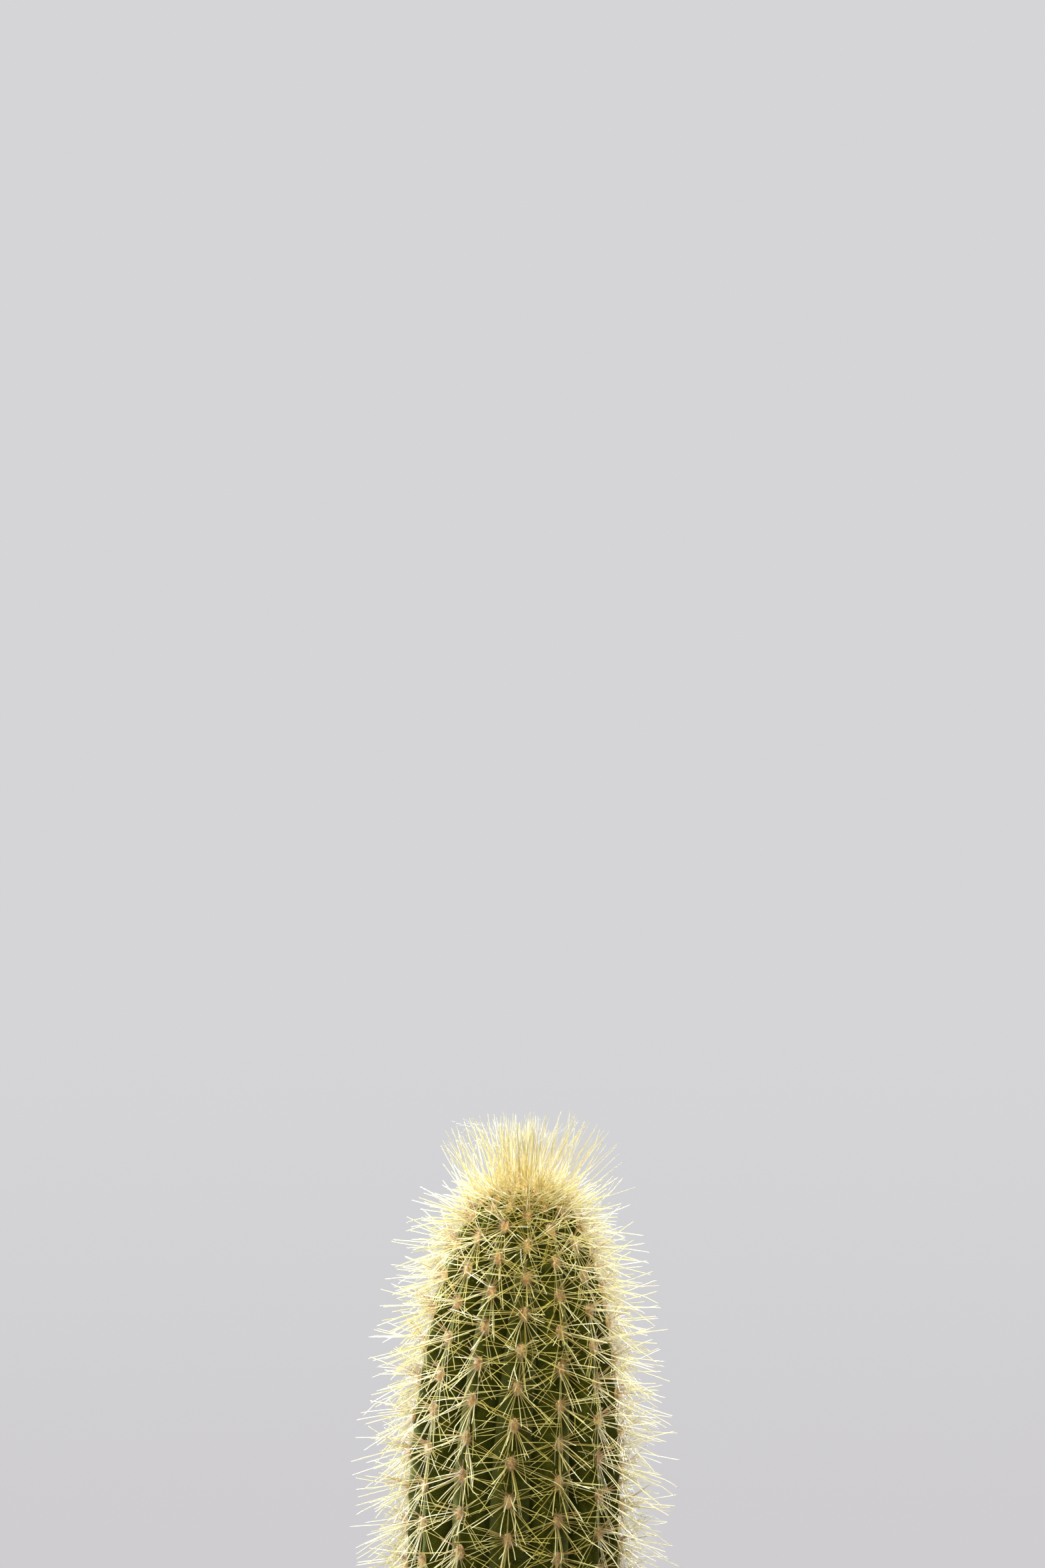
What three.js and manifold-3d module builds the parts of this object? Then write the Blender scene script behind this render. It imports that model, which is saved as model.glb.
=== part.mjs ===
// A columnar cactus with straw-yellow spines, growing in a plain clay pot under a layer of grit.
// Millimetres, +Z up. The origin is the centre of the pot's underside, and the front faces -Y.
import * as THREE from "three";
import { mergeVertices } from "three/addons/utils/BufferGeometryUtils.js";
import Module from "manifold-3d";

const wasm = await Module();
wasm.setup();

// ---- Driving dimensions -------------------------------------------------------------------

// Pot: a tapered clay pot with a rim band, a foot ring and a drain hole.
const POT_HEIGHT = 98;
const RIM_RADIUS = 55;
const RIM_LOWER_RADIUS = 53.6;
const RIM_BAND = 25;
const RIM_THICKNESS = 5;
const BODY_TOP_RADIUS = 50.4;
const FOOT_RADIUS = 37;
const FOOT_WIDTH = 6;
const FOOT_HEIGHT = 1.8;
const FLOOR_THICKNESS = 6;
const INNER_FLOOR_RADIUS = 32;
const DRAIN_RADIUS = 8.5;
const LIP_ROUND = 1.4;
const POT_CHAMFER = 1;
const POT_SIDES = 56;

// Soil and grit fill the pot and leave the fit clearance to every neighbour.
const CLEARANCE = 0.35;
const SOIL_TOP = 83;
const GRIT_SLAB = 2.2;
const STONE_COUNT = 128;
const STONE_RADIUS = [2.2, 3.4];
const STONE_SCALE = [1, 0.85, 0.7];
const STONE_LIFT = 0.15;
const STONE_TURN = 1.2;
const FILL_SIDES = 48;

// Stem: its height is measured from the grit to the green apex, without the spines.
const GRIT_TOP = 87;
const STEM_HEIGHT = 158;
const STEM_RADIUS = 28;
const DOME_DEPTH = 90;
const DOME_FALL = 2.2;
const DOME_ROUND = 0.435;
const WAIST_DEPTH = 105;
const WAIST_SHRINK = 2.5;
const BURIED_DEPTH = 28;
const ROOT_RADIUS = 12;

// The stem leans to +X above the grit, in a bow that grows with the square of the height.
const LEAN = 2.4;

// Ribs: 13 rounded ribs with sharp furrows. Towards the apex they turn a little round the stem and
// crowd together at its front. The crowding is a share of each rib's sine from the front.
const RIB_COUNT = 13;
const RIB_RELIEF = 0.165;
const RIB_SHARPNESS = 1.5;
const FLANK_SHARE = 0.3;
const CORKY_HEIGHT = 30;
const TURN_HEIGHTS = [160, 250];
const TURN_DEGREES = [-3.4, 7.6];
const CROWDING_DEGREES = [3, 11];

// Arc lengths from the apex, along a crest: where the crests start at the crown, and the rows of
// points in the furrows and flanks. Crests have the last of these rows below their cushions.
const FAN_ARC = 9;
const SKIN_ROWS = [14, 20, 28, 37, 48, 61, 76, 92, 109, 126, 140, 152, 162];
const ROWS_BELOW_CUSHIONS = 3;

// Areoles: woolly cushions along each crest, closer together towards the apex. Each rib's row is
// shifted by its own share of the spacing, counted to the right from the rib at the front.
const AREOLE_SPACING = 9.9;
const CLOSING = 0.3;
const CLOSING_RANGE = 4;
const RIB_SHIFTS = [0.08, 0.62, 0.12, 0.62, 0.33, 0.9, 0.47, 0.05, 0.71, 0.28, 0.2, 0.86, 0.46];
const CUSHION = { halfWidth: 1.9, halfLength: 2.6, rise: 1.6, widestShare: 0.22 };

// Spines: three-sided needles, one on each of a cushion's four faces, and a tuft at the crown.
const NEEDLE_RADIUS = 0.38;
const NEEDLE_ROOT = 1.4;
const AZIMUTH_SPREAD = 50;
const AREOLE_NEEDLES = [
  { tilt: 20, length: 14.5 },
  { tilt: 58, length: 11.5 },
  { tilt: 40, length: 13 },
  { tilt: 68, length: 11 },
];
const LOWEST_TIP = 2;
const LOWEST_AREOLE = 7;
const CROWN_ARC = 13;
const CROWN_NEEDLES = 124;
const CROWN_RADIUS = 14;
const CROWN_ROOT = 2.4;
const CROWN_LENGTH = [13, 18];
const CROWN_FOCUS_DEPTH = 24;
const SEED = 20417;

// ---- Helpers ------------------------------------------------------------------------------

const { degToRad, lerp, smoothstep } = THREE.MathUtils;
const GOLDEN_SHARE = (Math.sqrt(5) - 1) / 2;
const GOLDEN_ANGLE = 2 * Math.PI * (1 - GOLDEN_SHARE);
const FRONT = -Math.PI / 2;
const APEX_Z = GRIT_TOP + STEM_HEIGHT;

// A small seeded generator, so that every build places the same needles and stones.
function seeded(seed) {
  let state = seed;
  return () => {
    state = (state + 0x6d2b79f5) | 0;
    let mixed = Math.imul(state ^ (state >>> 15), 1 | state);
    mixed = (mixed + Math.imul(mixed ^ (mixed >>> 7), 61 | mixed)) ^ mixed;
    return ((mixed ^ (mixed >>> 14)) >>> 0) / 2 ** 32;
  };
}

function solidOf(geometry) {
  const bare = geometry.clone();
  bare.deleteAttribute("normal");
  bare.deleteAttribute("uv");
  const merged = mergeVertices(bare, 1e-4);
  return new wasm.Manifold(
    new wasm.Mesh({
      numProp: 3,
      vertProperties: new Float32Array(merged.attributes.position.array),
      triVerts: new Uint32Array(merged.index.array),
    }),
  );
}

// Joins the geometries into one body: loose scraps are dropped.
function fused(geometries) {
  const bodies = wasm.Manifold.union(geometries.map(solidOf)).decompose();
  const largest = bodies.reduce((a, b) => (a.volume() > b.volume() ? a : b));
  const mesh = largest.getMesh();
  const geometry = new THREE.BufferGeometry();
  geometry.setAttribute("position", new THREE.BufferAttribute(mesh.vertProperties, mesh.numProp));
  geometry.setIndex(new THREE.BufferAttribute(mesh.triVerts, 1));
  geometry.computeVertexNormals();
  return geometry;
}

// A lathe turns round Y in three.js, so its result is stood up along Z.
function lathe(profile, sides) {
  const points = profile.map(([radius, height]) => new THREE.Vector2(radius, height));
  return new THREE.LatheGeometry(points, sides).rotateX(Math.PI / 2);
}

function meshOf(name, geometry, colour, roughness) {
  const material = new THREE.MeshStandardMaterial({ color: colour, roughness, metalness: 0 });
  const mesh = new THREE.Mesh(geometry, material);
  mesh.name = name;
  return mesh;
}

// ---- Pot ----------------------------------------------------------------------------------

const innerWallRadius = (z) =>
  lerp(
    INNER_FLOOR_RADIUS,
    RIM_RADIUS - RIM_THICKNESS,
    (z - FLOOR_THICKNESS) / (POT_HEIGHT - FLOOR_THICKNESS),
  );

function pot() {
  const bandBottom = POT_HEIGHT - RIM_BAND;
  const rimInner = innerWallRadius(POT_HEIGHT);
  const profile = [
    [DRAIN_RADIUS, FOOT_HEIGHT],
    [FOOT_RADIUS - FOOT_WIDTH - POT_CHAMFER, FOOT_HEIGHT],
    [FOOT_RADIUS - FOOT_WIDTH, 0],
    [FOOT_RADIUS, 0],
    [FOOT_RADIUS + POT_CHAMFER, POT_CHAMFER],
    [BODY_TOP_RADIUS, bandBottom],
    [RIM_LOWER_RADIUS - POT_CHAMFER, bandBottom],
    [RIM_LOWER_RADIUS, bandBottom + POT_CHAMFER],
    [RIM_RADIUS, POT_HEIGHT - LIP_ROUND],
    [RIM_RADIUS - LIP_ROUND, POT_HEIGHT],
    [rimInner + LIP_ROUND, POT_HEIGHT],
    [rimInner, POT_HEIGHT - LIP_ROUND],
    [INNER_FLOOR_RADIUS, FLOOR_THICKNESS],
    [DRAIN_RADIUS, FLOOR_THICKNESS],
    [DRAIN_RADIUS, FOOT_HEIGHT],
  ];
  return meshOf("pot", lathe(profile, POT_SIDES), 0xb4623c, 0.85);
}

// ---- Stem ---------------------------------------------------------------------------------

// The radius of the rib crests at a depth below the apex: a long dome, a straight column, a
// slight waist above the grit, and a stub that narrows in the soil.
function crestRadius(depth) {
  const dome = Math.min(depth / DOME_DEPTH, 1);
  const column = STEM_RADIUS * (1 - (1 - dome) ** DOME_FALL) ** DOME_ROUND;
  const waist = column - WAIST_SHRINK * smoothstep(depth, WAIST_DEPTH, STEM_HEIGHT);
  const buried = Math.max(depth - STEM_HEIGHT, 0) / BURIED_DEPTH;
  return lerp(waist, ROOT_RADIUS, buried);
}

// The crest line from the apex to the root end, as radius and height.
class CrestLine extends THREE.Curve {
  getPoint(t) {
    const depth = (STEM_HEIGHT + BURIED_DEPTH) * t * t;
    return new THREE.Vector2(crestRadius(depth), APEX_Z - depth);
  }
}
const crestLine = new CrestLine();
crestLine.arcLengthDivisions = 800;
const crestLength = crestLine.getLength();

// The angle of a place on the ribs round the stem, at a height.
function ribAngle(place, z) {
  const share = smoothstep(z, ...TURN_HEIGHTS);
  const fromFront = (place / RIB_COUNT) * 2 * Math.PI;
  const crowding = degToRad(lerp(...CROWDING_DEGREES, share)) * Math.sin(fromFront);
  return FRONT + degToRad(lerp(...TURN_DEGREES, share)) + fromFront - crowding;
}

// How deep the furrows are, as a share of the radius. They fade in the corky foot.
const furrowShare = (z) => RIB_RELIEF * smoothstep(z, GRIT_TOP - 2, GRIT_TOP + CORKY_HEIGHT);

// The ribbed surface at an arc length along the crest line, on the part of a rib that runs from
// one furrow (-0.5) over the crest (0) to the next furrow (0.5).
function stemPoint(arc, rib, across) {
  const crest = crestLine.getPointAt(arc / crestLength);
  const furrow = furrowShare(crest.y) * Math.abs(2 * across) ** RIB_SHARPNESS;
  const radius = crest.x * (1 - furrow);
  const angle = ribAngle(rib + across, crest.y);
  return new THREE.Vector3(radius * Math.cos(angle), radius * Math.sin(angle), crest.y);
}

// ---- Areoles and spines -------------------------------------------------------------------

// The arc length from the apex to the areole with this count along its rib.
const areoleArc = (count) =>
  AREOLE_SPACING * (count - CLOSING * CLOSING_RANGE * (1 - Math.exp(-count / CLOSING_RANGE)));

// A raised cushion: its peak over the crest, its four corners on the rib in turn from the top,
// and the directions outwards, across and down the rib.
function cushionAt(arc, rib) {
  const crest = stemPoint(arc, rib, 0);
  const angle = Math.atan2(crest.y, crest.x);
  const along = crestLine.getTangentAt(arc / crestLength);
  const down = new THREE.Vector3(along.x * Math.cos(angle), along.x * Math.sin(angle), along.y);
  const across = new THREE.Vector3(-Math.sin(angle), Math.cos(angle), 0);
  const out = new THREE.Vector3().crossVectors(down, across);
  const pitch = (2 * Math.PI * Math.hypot(crest.x, crest.y)) / RIB_COUNT;
  const share = Math.min(CUSHION.halfWidth / pitch, CUSHION.widestShare);
  const corners = [
    stemPoint(arc - CUSHION.halfLength, rib, 0),
    stemPoint(arc, rib, share),
    stemPoint(arc + CUSHION.halfLength, rib, 0),
    stemPoint(arc, rib, -share),
  ];
  return { peak: crest.addScaledVector(out, CUSHION.rise), corners, out, across, down };
}

// The cushions of one rib, from the crown to the foot of the stem.
function cushionsOf(rib) {
  const found = [];
  const lowest = GRIT_TOP + LOWEST_AREOLE;
  for (let count = RIB_SHIFTS[rib]; ; count++) {
    const arc = areoleArc(count);
    if (arc > CROWN_ARC + CUSHION.halfLength) {
      if (stemPoint(arc, rib, 0).z < lowest) return found;
      found.push(cushionAt(arc, rib));
    }
  }
}
const cushions = Array.from({ length: RIB_COUNT }, (_, rib) => cushionsOf(rib));

// The stem's skin. Chains of points run down every furrow, flank and crest, and past the sides of
// the cushions, and a strip of triangles joins each chain to the next one round the stem.
function stemSkin() {
  const points = [];
  const chainOf = (places) => places.map((place) => points.push(place) - 1);
  const buriedLength = Math.hypot(BURIED_DEPTH, crestRadius(STEM_HEIGHT) - ROOT_RADIUS);
  const rows = [...SKIN_ROWS, crestLength - buriedLength, crestLength];
  const belowCushions = rows.slice(-ROWS_BELOW_CUSHIONS);
  const edgeShare = CUSHION.widestShare;

  const chains = cushions.flatMap((found, rib) => {
    const line = (arcs, across) => arcs.map((arc) => stemPoint(arc, rib, across));
    const side = (corner, across) => [
      ...line([rows[0]], across),
      ...found.map(({ corners }) => corners[corner]),
      ...line(belowCushions, across),
    ];
    const crest = [
      ...line([FAN_ARC], 0),
      ...found.flatMap(({ peak, corners: [top, , bottom] }) => [top, peak, bottom]),
      ...line(belowCushions, 0),
    ];
    return [
      line(rows, -0.5),
      line(rows, -FLANK_SHARE),
      side(3, -edgeShare),
      crest,
      side(1, edgeShare),
      line(rows, FLANK_SHARE),
    ].map(chainOf);
  });
  const [apex, rootEnd] = chainOf([
    new THREE.Vector3(0, 0, APEX_Z),
    new THREE.Vector3(0, 0, APEX_Z - STEM_HEIGHT - BURIED_DEPTH),
  ]);

  const faces = [];
  const distance = (a, b) => points[a].distanceToSquared(points[b]);
  chains.forEach((left, i) => {
    const right = chains[(i + 1) % chains.length];
    let [a, b] = [0, 0];
    while (a < left.length - 1 || b < right.length - 1) {
      const toLeft = a < left.length - 1 ? distance(left[a + 1], right[b]) : Infinity;
      const toRight = b < right.length - 1 ? distance(left[a], right[b + 1]) : Infinity;
      if (toLeft < toRight) {
        faces.push(left[a], left[a + 1], right[b]);
        a++;
      } else {
        faces.push(left[a], right[b + 1], right[b]);
        b++;
      }
    }
    faces.push(right.at(-1), left.at(-1), rootEnd);
  });
  // Over the tops of the chains, each rib has a fan from its crest, and the fans meet at the apex.
  const perRib = chains.length / RIB_COUNT;
  const crestPlace = perRib / 2;
  const top = (chain) => chains[chain % chains.length][0];
  for (let rib = 0; rib < RIB_COUNT; rib++) {
    const first = rib * perRib;
    const [crest, nextCrest] = [top(first + crestPlace), top(first + perRib + crestPlace)];
    faces.push(apex, crest, nextCrest);
    for (const place of [0, 1, crestPlace + 1, crestPlace + 2]) {
      faces.push(crest, top(first + place), top(first + place + 1));
    }
    faces.push(crest, top(first + perRib), nextCrest);
  }
  return new THREE.BufferGeometry().setFromPoints(points).setIndex(faces);
}

const UP = new THREE.Vector3(0, 1, 0);

// A needle that starts below the surface, at its root, and ends in a point.
function needle({ foot, direction, length, root }) {
  const whole = length + root;
  const turn = new THREE.Quaternion().setFromUnitVectors(UP, direction);
  const start = foot.clone().addScaledVector(direction, -root);
  return new THREE.ConeGeometry(NEEDLE_RADIUS, whole, 3)
    .translate(0, whole / 2, 0)
    .applyQuaternion(turn)
    .translate(start.x, start.y, start.z);
}

// One needle leaves by the middle of each of a cushion's faces, so that no two of them cross. The
// lengths and leans go round the cushion from one areole to the next.
function cushionNeedles({ peak, corners, out, across, down }, index) {
  const spread = degToRad(AZIMUTH_SPREAD) * (((index * GOLDEN_SHARE) % 1) - 0.5);
  return corners.map((corner, face) => {
    const next = corners[(face + 1) % corners.length];
    const foot = peak.clone().add(corner).add(next).divideScalar(3);
    const { tilt, length } = AREOLE_NEEDLES[(index + face) % AREOLE_NEEDLES.length];
    const round = ((face - 0.5) / corners.length) * 2 * Math.PI + spread;
    const lean = degToRad(tilt);
    const direction = out
      .clone()
      .multiplyScalar(Math.cos(lean))
      .addScaledVector(across, Math.sin(lean) * Math.cos(round))
      .addScaledVector(down, Math.sin(lean) * Math.sin(round));
    return { foot, direction, length, root: NEEDLE_ROOT };
  });
}

// The crown's needles fan out from one point inside the dome, so that none of them cross.
function crownNeedles(random) {
  const focus = new THREE.Vector3(0, 0, APEX_Z - CROWN_FOCUS_DEPTH);
  return Array.from({ length: CROWN_NEEDLES }, (_, i) => {
    const arc = CROWN_RADIUS * Math.sqrt((i + 0.5) / CROWN_NEEDLES);
    const crest = crestLine.getPointAt(arc / crestLength);
    const foot = new THREE.Vector3(crest.x, 0, crest.y);
    foot.applyAxisAngle(new THREE.Vector3(0, 0, 1), i * GOLDEN_ANGLE);
    const direction = foot.clone().sub(focus).normalize();
    return { foot, direction, length: lerp(...CROWN_LENGTH, random()), root: CROWN_ROOT };
  });
}

// Moves every point of the upright plant sideways by the lean at its height.
function leaned(geometry) {
  const places = geometry.getAttribute("position");
  for (let i = 0; i < places.count; i++) {
    const share = Math.max(places.getZ(i) - GRIT_TOP, 0) / STEM_HEIGHT;
    places.setX(i, places.getX(i) + LEAN * share ** 2);
  }
  return geometry;
}

function cactus() {
  const needles = [...cushions.flat().flatMap(cushionNeedles), ...crownNeedles(seeded(SEED))];
  const clear = needles.filter(
    ({ foot, direction, length }) => foot.z + direction.z * length > GRIT_TOP + LOWEST_TIP,
  );
  const plant = leaned(fused([stemSkin(), ...clear.map(needle)]));
  return meshOf("cactus", plant, 0x5a6a2c, 0.6);
}

// ---- Soil and grit ------------------------------------------------------------------------

// The soil has a plain tapered hole that the foot of the stem stands in.
function soil() {
  const holeTop = crestRadius(STEM_HEIGHT + GRIT_TOP - SOIL_TOP) + CLEARANCE;
  const holeFloor = GRIT_TOP - BURIED_DEPTH - CLEARANCE;
  const bottom = FLOOR_THICKNESS + CLEARANCE;
  const profile = [
    [0, bottom],
    [innerWallRadius(bottom) - CLEARANCE, bottom],
    [innerWallRadius(SOIL_TOP) - CLEARANCE, SOIL_TOP],
    [holeTop, SOIL_TOP],
    [ROOT_RADIUS + CLEARANCE, holeFloor],
    [0, holeFloor],
  ];
  return meshOf("soil", lathe(profile, FILL_SIDES), 0x3b2c22, 0.95);
}

// A slab of fused stones lies on the soil, round the stem.
function grit() {
  const random = seeded(SEED + 1);
  const bottom = SOIL_TOP + CLEARANCE;
  const top = bottom + GRIT_SLAB;
  const inner = crestRadius(STEM_HEIGHT) + 2 * CLEARANCE;
  const outer = innerWallRadius(bottom) - CLEARANCE;
  const slab = lathe(
    [
      [inner, bottom],
      [outer, bottom],
      [outer, top],
      [inner, top],
      [inner, bottom],
    ],
    FILL_SIDES,
  );
  const largest = STONE_RADIUS[1];
  const stones = Array.from({ length: STONE_COUNT }, (_, i) => {
    const share = (i + 0.5) / STONE_COUNT;
    const distance = Math.sqrt(lerp((inner + largest) ** 2, (outer - largest) ** 2, share));
    const radius = lerp(...STONE_RADIUS, random());
    const angle = i * GOLDEN_ANGLE;
    return new THREE.OctahedronGeometry(radius)
      .scale(...STONE_SCALE)
      .rotateX((random() - 0.5) * STONE_TURN)
      .rotateY((random() - 0.5) * STONE_TURN)
      .rotateZ(random() * Math.PI)
      .translate(distance * Math.cos(angle), distance * Math.sin(angle), top + STONE_LIFT * radius);
  });
  return meshOf("grit", fused([slab, ...stones]), 0xa79e90, 0.9);
}

const pottedCactus = new THREE.Group();
pottedCactus.add(pot(), soil(), grit(), cactus());

export default pottedCactus;
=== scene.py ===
"""A columnar cactus with straw-yellow spines, in a plain clay pot dressed with grit.

The part's solids give the sizes: the pot, the soil, the grit and the plant. This script puts a finer
piece in the place of each, and adds wool, spines and hairs. All lengths are in metres, +Z is up and
the front faces -Y.
"""

import math

import bpy
import numpy as np
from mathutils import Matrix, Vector, noise


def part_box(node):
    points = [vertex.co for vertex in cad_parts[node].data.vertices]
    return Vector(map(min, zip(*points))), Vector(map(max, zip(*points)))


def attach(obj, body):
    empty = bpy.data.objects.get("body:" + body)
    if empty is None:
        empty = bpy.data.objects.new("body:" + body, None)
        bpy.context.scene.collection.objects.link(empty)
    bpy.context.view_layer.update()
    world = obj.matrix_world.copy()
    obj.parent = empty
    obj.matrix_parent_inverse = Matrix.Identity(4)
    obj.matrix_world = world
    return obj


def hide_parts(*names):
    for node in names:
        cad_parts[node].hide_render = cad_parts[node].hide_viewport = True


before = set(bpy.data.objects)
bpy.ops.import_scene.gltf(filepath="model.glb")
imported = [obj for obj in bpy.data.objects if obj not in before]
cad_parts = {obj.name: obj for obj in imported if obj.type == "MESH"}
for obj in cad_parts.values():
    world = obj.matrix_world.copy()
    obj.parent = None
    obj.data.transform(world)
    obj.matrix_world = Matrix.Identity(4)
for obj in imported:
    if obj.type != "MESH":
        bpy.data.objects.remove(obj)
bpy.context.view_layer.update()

MM = 0.001
TURN = 2 * math.pi
GOLDEN_SHARE = (math.sqrt(5) - 1) / 2
GOLDEN_ANGLE = TURN * (1 - GOLDEN_SHARE)
SEED = 20417

# ---- Sizes of the part's solids -------------------------------------------------------------

POT_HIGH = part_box("pot")[1]
SOIL_LOW, SOIL_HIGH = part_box("soil")
GRIT_LOW, GRIT_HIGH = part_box("grit")
PLANT_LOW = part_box("cactus")[0]

# ---- The stem's form: the same formulas as the solid's --------------------------------------

GRIT_TOP = 87 * MM
STEM_HEIGHT = 158 * MM
STEM_RADIUS = 28 * MM
WAIST_DEPTH = 105 * MM
WAIST_SHRINK = 2.5 * MM
ROOT_RADIUS = 12 * MM
BURIED_DEPTH = GRIT_TOP - PLANT_LOW.z
APEX_Z = GRIT_TOP + STEM_HEIGHT
LEAN = 2.4 * MM
CREST_LINE_POINTS = 4000

# Two powers round the dome off, from the full column below it up to the apex.
DOME_DEPTH = 90 * MM
DOME_FALL = 2.2
DOME_ROUND = 0.435

RIB_COUNT = 13
RIB_RELIEF = 0.165
RIB_SHARPNESS = 1.5
CORKY_HEIGHT = 30 * MM
FURROWS_LOWEST = GRIT_TOP - 2 * MM

# Between two heights the ribs turn round the stem, and crowd together on its front.
TURN_HEIGHTS = (160 * MM, 250 * MM)
TURN_DEGREES = (-3.4, 7.6)
CROWDING_DEGREES = (3, 11)

# The areoles close up towards the apex. Each rib's row is shifted by its own share of the spacing.
AREOLE_SPACING = 9.9 * MM
CLOSING = 0.3
CLOSING_RANGE = 4
MOST_AREOLES = 40
RIB_SHIFTS = (0.08, 0.62, 0.12, 0.62, 0.33, 0.9, 0.47, 0.05, 0.71, 0.28, 0.2, 0.86, 0.46)
CROWN_ARC = 15.6 * MM
LOWEST_AREOLE = GRIT_TOP + 7 * MM


def lerp(low, high, share):
    return low + (high - low) * share


def smooth_step(value, low, high):
    """Rises smoothly from 0 at the low value to 1 at the high one."""
    share = np.clip((value - low) / (high - low), 0, 1)
    return share * share * (3 - 2 * share)


def unit(vectors):
    return vectors / np.linalg.norm(vectors, axis=-1, keepdims=True)


def crest_radius(depth):
    """The radius over the rib crests at a depth below the apex."""
    dome = np.minimum(depth / DOME_DEPTH, 1)
    column = STEM_RADIUS * (1 - (1 - dome) ** DOME_FALL) ** DOME_ROUND
    waist = column - WAIST_SHRINK * smooth_step(depth, WAIST_DEPTH, STEM_HEIGHT)
    buried = np.maximum(depth - STEM_HEIGHT, 0) / BURIED_DEPTH
    return lerp(waist, ROOT_RADIUS, buried)


# The crest line from the apex down: fine rows of its depths, radii and arc lengths.
LINE_DEPTH = (STEM_HEIGHT + BURIED_DEPTH) * np.linspace(0, 1, CREST_LINE_POINTS) ** 2
LINE_RADIUS = crest_radius(LINE_DEPTH)
LINE_ARC = np.append(0, np.cumsum(np.hypot(np.diff(LINE_DEPTH), np.diff(LINE_RADIUS))))
LINE_LENGTH = LINE_ARC[-1]


def rib_angle(place, z):
    """The angle round the stem of a place counted in ribs from the front rib's crest."""
    share = smooth_step(z, *TURN_HEIGHTS)
    from_front = place / RIB_COUNT * TURN
    crowding = np.radians(lerp(*CROWDING_DEGREES, share)) * np.sin(from_front)
    return -TURN / 4 + np.radians(lerp(*TURN_DEGREES, share)) + from_front - crowding


def furrow_share(z):
    """How deep the furrows are at a height, as a share of the radius."""
    return RIB_RELIEF * smooth_step(z, FURROWS_LOWEST, GRIT_TOP + CORKY_HEIGHT)


def stem_points(arc, place):
    """Points of the upright ribbed surface, at arc lengths down the crest line."""
    radius = np.interp(arc, LINE_ARC, LINE_RADIUS)
    z = APEX_Z - np.interp(arc, LINE_ARC, LINE_DEPTH)
    across = place - np.round(place)
    radius = radius * (1 - furrow_share(z) * np.abs(2 * across) ** RIB_SHARPNESS)
    angle = rib_angle(place, z)
    return np.stack([radius * np.cos(angle), radius * np.sin(angle), z], axis=-1)


def leaned(points):
    """The upright plant's points, moved sideways by the lean at their height."""
    share = np.maximum(points[..., 2] - GRIT_TOP, 0) / STEM_HEIGHT
    moved = points.copy()
    moved[..., 0] += LEAN * share**2
    return moved


# ---- Making and shaping meshes --------------------------------------------------------------


def start_fresh():
    """Leaves edit mode and deselects everything, so that what follows acts on the new piece alone."""
    if bpy.context.object and bpy.context.object.mode != "OBJECT":
        bpy.ops.object.mode_set(mode="OBJECT")
    bpy.ops.object.select_all(action="DESELECT")


def edit_whole(piece):
    """Opens a piece in edit mode, with all of it selected."""
    start_fresh()
    piece.select_set(True)
    bpy.context.view_layer.objects.active = piece
    bpy.ops.object.mode_set(mode="EDIT")
    bpy.ops.mesh.select_all(action="SELECT")


def closed_up(piece, gap=1e-6):
    """Merges the doubled points of a piece and turns its faces outwards."""
    edit_whole(piece)
    bpy.ops.mesh.remove_doubles(threshold=gap)
    bpy.ops.mesh.normals_make_consistent(inside=False)
    bpy.ops.object.mode_set(mode="OBJECT")


def new_piece(name, mesh):
    piece = bpy.data.objects.new(name, mesh)
    bpy.context.scene.collection.objects.link(piece)
    return piece


def points_of(piece):
    points = np.empty(len(piece.data.vertices) * 3)
    piece.data.vertices.foreach_get("co", points)
    return points.reshape(-1, 3)


def set_points(piece, points):
    piece.data.vertices.foreach_set("co", np.ascontiguousarray(points).ravel())
    piece.data.update()


def soft_noise(points, scale, shift=(0, 0, 0)):
    """Smooth noise between -1 and 1 at each point."""
    return np.array([noise.noise(Vector(point) * scale + Vector(shift)) for point in points])


def mark(piece, name, values):
    """Stores a number for each point of a piece, for its material to read."""
    attribute = piece.data.attributes.new(name, "FLOAT", "POINT")
    attribute.data.foreach_set("value", np.ascontiguousarray(values, dtype=np.float32).ravel())


def copies_of(pattern, name, places):
    """One piece made of a copy of the pattern's mesh for each row of places: (copy, point, xyz)."""
    count, size = places.shape[:2]
    source = pattern.data
    corners = np.empty(len(source.loops), dtype=np.int32)
    source.loops.foreach_get("vertex_index", corners)
    totals = np.empty(len(source.polygons), dtype=np.int32)
    source.polygons.foreach_get("loop_total", totals)
    steps = np.arange(count, dtype=np.int32)[:, None]
    mesh = bpy.data.meshes.new(name)
    mesh.vertices.add(count * size)
    mesh.vertices.foreach_set("co", np.ascontiguousarray(places, dtype=np.float32).ravel())
    mesh.loops.add(count * len(corners))
    mesh.loops.foreach_set("vertex_index", (corners + steps * size).ravel())
    totals = np.tile(totals, count)
    mesh.polygons.add(len(totals))
    mesh.polygons.foreach_set("loop_start", np.append(0, np.cumsum(totals)[:-1]).astype(np.int32))
    mesh.polygons.foreach_set("loop_total", totals)
    mesh.update(calc_edges=True)
    return new_piece(name, mesh)


def finish_piece(piece, material, node):
    """Gives a piece its finish and its place in the frame."""
    piece.data.materials.clear()
    piece.data.materials.append(material)
    piece.data.polygons.foreach_set("use_smooth", [True] * len(piece.data.polygons))
    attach(piece, "root")
    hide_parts(node)
    return piece


# ---- Materials ------------------------------------------------------------------------------


def feed(tree, node, **inputs):
    """Fills a node's inputs. An input is a value, or a socket to link to it."""
    for name, value in inputs.items():
        socket = node.inputs[name.replace("_", " ")]
        if isinstance(value, bpy.types.NodeSocket):
            tree.links.new(value, socket)
        else:
            socket.default_value = value


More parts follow.
